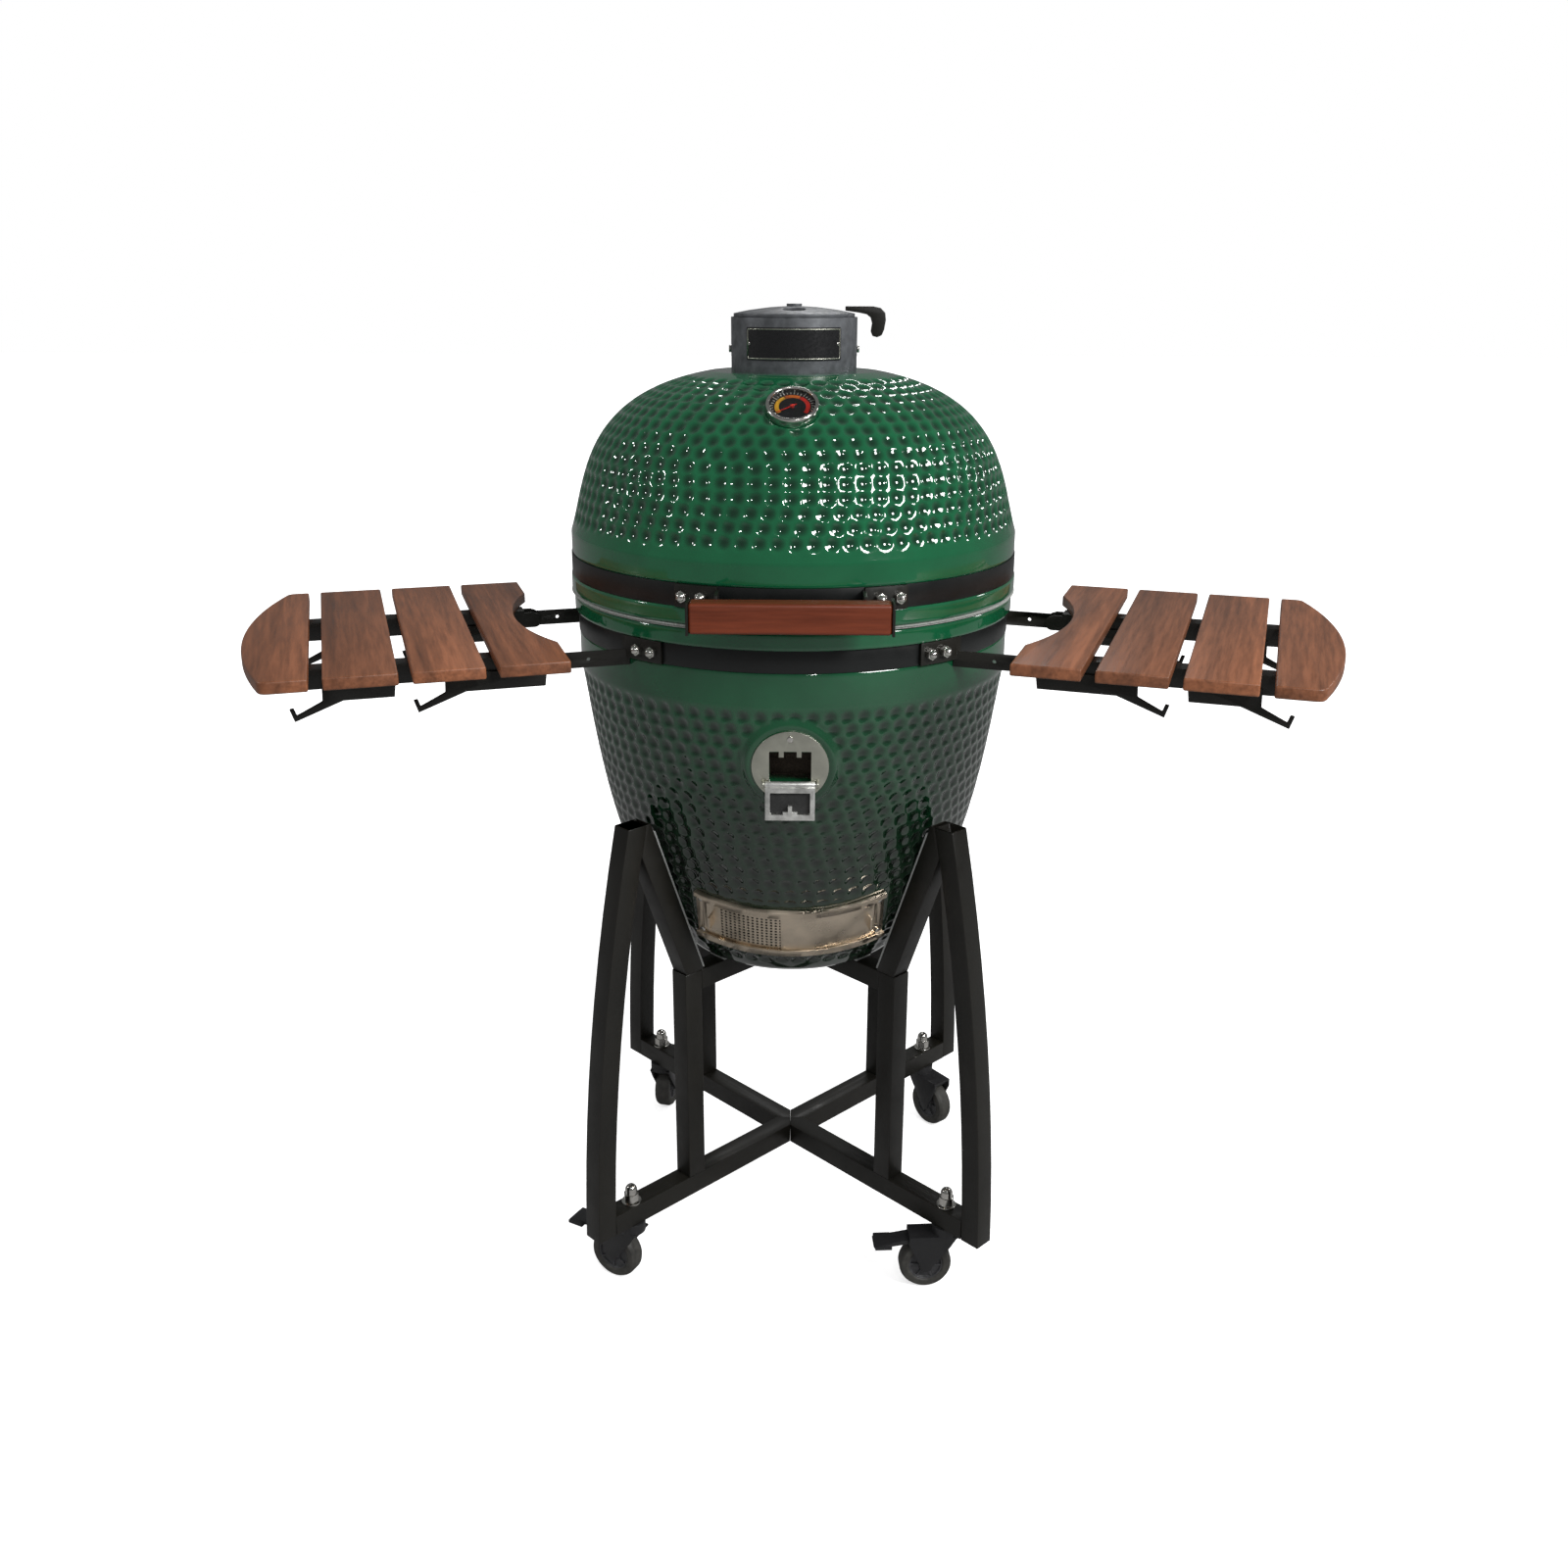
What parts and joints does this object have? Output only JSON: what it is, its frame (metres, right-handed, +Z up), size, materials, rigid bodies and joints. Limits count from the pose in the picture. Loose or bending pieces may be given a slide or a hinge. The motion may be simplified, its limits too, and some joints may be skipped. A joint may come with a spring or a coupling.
{
  "type": "kamado charcoal grill",
  "caption": "Egg-shaped glazed ceramic charcoal grill with hinged lid, vented cap, air port, ash vent, folding slatted side shelves and a square-tube stand on casters.",
  "frame": {"origin": "on the floor under the centre of the overall box", "axes": "+Z up, the front (handle, thermometer and vents) faces -Y, +X to the right across the two shelves"},
  "size_m": [1.4218, 0.8318, 1.3473],
  "materials": {
    "black_steel": "satin powder coat",
    "grey_felt": "matte felt",
    "zinc_hardware": "bright zinc",
    "spring_steel": "bright wire",
    "green_glaze": "glossy dimpled glaze",
    "fire_clay": "matte fired clay",
    "cast_iron": "raw cast iron",
    "stainless": "brushed stainless",
    "cast_flap": "cast",
    "handle_wood": "oiled hardwood",
    "shelf_wood": "oiled hardwood",
    "gauge_face": "printed dial",
    "gauge_red": "red",
    "gauge_glass": "clear",
    "cast_cap": "painted cast aluminium",
    "badge_black": "satin black",
    "caster_steel": "black",
    "caster_rubber": "black rubber"
  },
  "bodies": {
    "base": {"stand_cross_tubes": "black_steel", "stand_posts": "black_steel", "stand_outer_legs": "black_steel", "stand_saddle_tubes": "black_steel", "stand_upper_cross": "black_steel", "felt_strips": "grey_felt", "caster_stems": "zinc_hardware", "stem_nuts": "zinc_hardware", "base_shell": "green_glaze", "base_gasket": "grey_felt", "fire_bowl": "fire_clay", "fire_ring": "fire_clay", "charcoal_grate": "cast_iron", "cooking_grid": "stainless", "lower_band": "black_steel", "shelf_brackets": "black_steel", "band_nuts": "zinc_hardware", "hinge_base": "black_steel", "hinge_pin": "zinc_hardware", "hinge_springs": "spring_steel", "vent_frame": "stainless", "vent_screws": "zinc_hardware", "port_plate": "stainless", "port_screw": "zinc_hardware"},
    "lid": {"lid_shell": "green_glaze", "lid_gasket": "grey_felt", "upper_band": "black_steel", "hinge_arm": "black_steel", "lid_nuts": "zinc_hardware", "handle_brackets": "black_steel", "handle_grip": "handle_wood", "gauge_case": "stainless", "gauge_dial": "gauge_face", "gauge_needle": "gauge_red", "gauge_glass": "gauge_glass", "cap_collar": "cast_cap", "badge_plate": "badge_black", "cap_screws": "zinc_hardware"},
    "damper": {"damper_disc": "cast_cap", "damper_lever": "black_steel"},
    "ash_screen": {"vent_screen": "stainless"},
    "ash_door": {"vent_door": "stainless"},
    "flap": {"port_flap": "cast_flap"},
    "shelf_left": {"shelf_left_slats": "shelf_wood", "shelf_left_arms": "black_steel", "shelf_left_hooks": "black_steel"},
    "shelf_right": {"shelf_right_slats": "shelf_wood", "shelf_right_arms": "black_steel", "shelf_right_hooks": "black_steel"},
    "caster_fl": {"caster_fork_fl": "caster_steel"},
    "wheel_fl": {"caster_wheel_fl": "caster_rubber"},
    "brake_fl": {"caster_pedal_fl": "caster_steel"},
    "caster_fr": {"caster_fork_fr": "caster_steel"},
    "wheel_fr": {"caster_wheel_fr": "caster_rubber"},
    "brake_fr": {"caster_pedal_fr": "caster_steel"},
    "caster_rl": {"caster_fork_rl": "caster_steel"},
    "wheel_rl": {"caster_wheel_rl": "caster_rubber"},
    "brake_rl": {"caster_pedal_rl": "caster_steel"},
    "caster_rr": {"caster_fork_rr": "caster_steel"},
    "wheel_rr": {"caster_wheel_rr": "caster_rubber"}
  },
  "joints": [
    {"name": "lid_hinge", "type": "hinge", "parent": "base", "child": "lid", "pos_m": [0, 0.4019, 0.981], "axis": [-1, 0, 0], "range_deg": [0, 72]},
    {"name": "damper_turn", "type": "hinge", "parent": "lid", "child": "damper", "pos_m": [0, 0.0399, 1.331], "axis": [0, 0, 1], "range_deg": [0, 45]},
    {"name": "ash_screen_slide", "type": "hinge", "parent": "base", "child": "ash_screen", "pos_m": [0, 0.06027, 0.61554], "axis": [0, -0.4493, 0.8934], "range_deg": [0, 22]},
    {"name": "ash_door_slide", "type": "hinge", "parent": "base", "child": "ash_door", "pos_m": [0, 0.06027, 0.61554], "axis": [0, -0.4493, 0.8934], "range_deg": [-22, 0]},
    {"name": "port_flap_hinge", "type": "hinge", "parent": "base", "child": "flap", "pos_m": [0, -0.24755, 0.78456], "axis": [-1, 0, 0], "range_deg": [0, 171.5]},
    {"name": "shelf_left_fold", "type": "hinge", "parent": "base", "child": "shelf_left", "pos_m": [-0.32811, -0.06671, 0.928], "axis": [0.309, -0.9511, 0], "range_deg": [0, 85]},
    {"name": "shelf_right_fold", "type": "hinge", "parent": "base", "child": "shelf_right", "pos_m": [0.32811, -0.06671, 0.928], "axis": [0.309, 0.9511, 0], "range_deg": [0, 85]},
    {"name": "caster_fl_swivel", "type": "hinge", "parent": "base", "child": "caster_fl", "pos_m": [-0.22486, -0.18496, 0.09], "axis": [0, 0, 1], "continuous": true},
    {"name": "wheel_fl_spin", "type": "hinge", "parent": "caster_fl", "child": "wheel_fl", "pos_m": [-0.24958, -0.17181, 0.0375], "axis": [-0.4695, -0.8829, 0], "continuous": true},
    {"name": "brake_fl_press", "type": "hinge", "parent": "caster_fl", "child": "brake_fl", "pos_m": [-0.26371, -0.1643, 0.078], "axis": [-0.4695, -0.8829, 0], "range_deg": [0, 12]},
    {"name": "caster_fr_swivel", "type": "hinge", "parent": "base", "child": "caster_fr", "pos_m": [0.22486, -0.18496, 0.09], "axis": [0, 0, 1], "continuous": true},
    {"name": "wheel_fr_spin", "type": "hinge", "parent": "caster_fr", "child": "wheel_fr", "pos_m": [0.19693, -0.18691, 0.0375], "axis": [0.0698, -0.9976, 0], "continuous": true},
    {"name": "brake_fr_press", "type": "hinge", "parent": "caster_fr", "child": "brake_fr", "pos_m": [0.18097, -0.18803, 0.078], "axis": [0.0698, -0.9976, 0], "range_deg": [0, 12]},
    {"name": "caster_rl_swivel", "type": "hinge", "parent": "base", "child": "caster_rl", "pos_m": [-0.22486, 0.26476, 0.09], "axis": [0, 0, 1], "continuous": true},
    {"name": "wheel_rl_spin", "type": "hinge", "parent": "caster_rl", "child": "wheel_rl", "pos_m": [-0.21904, 0.29215, 0.0375], "axis": [-0.9781, 0.2079, 0], "continuous": true},
    {"name": "brake_rl_press", "type": "hinge", "parent": "caster_rl", "child": "brake_rl", "pos_m": [-0.21571, 0.3078, 0.078], "axis": [-0.9781, 0.2079, 0], "range_deg": [0, 12]},
    {"name": "caster_rr_swivel", "type": "hinge", "parent": "base", "child": "caster_rr", "pos_m": [0.22486, 0.26476, 0.09], "axis": [0, 0, 1], "continuous": true},
    {"name": "wheel_rr_spin", "type": "hinge", "parent": "caster_rr", "child": "wheel_rr", "pos_m": [0.2421, 0.2427, 0.0375], "axis": [0.788, 0.6157, 0], "continuous": true}
  ]
}
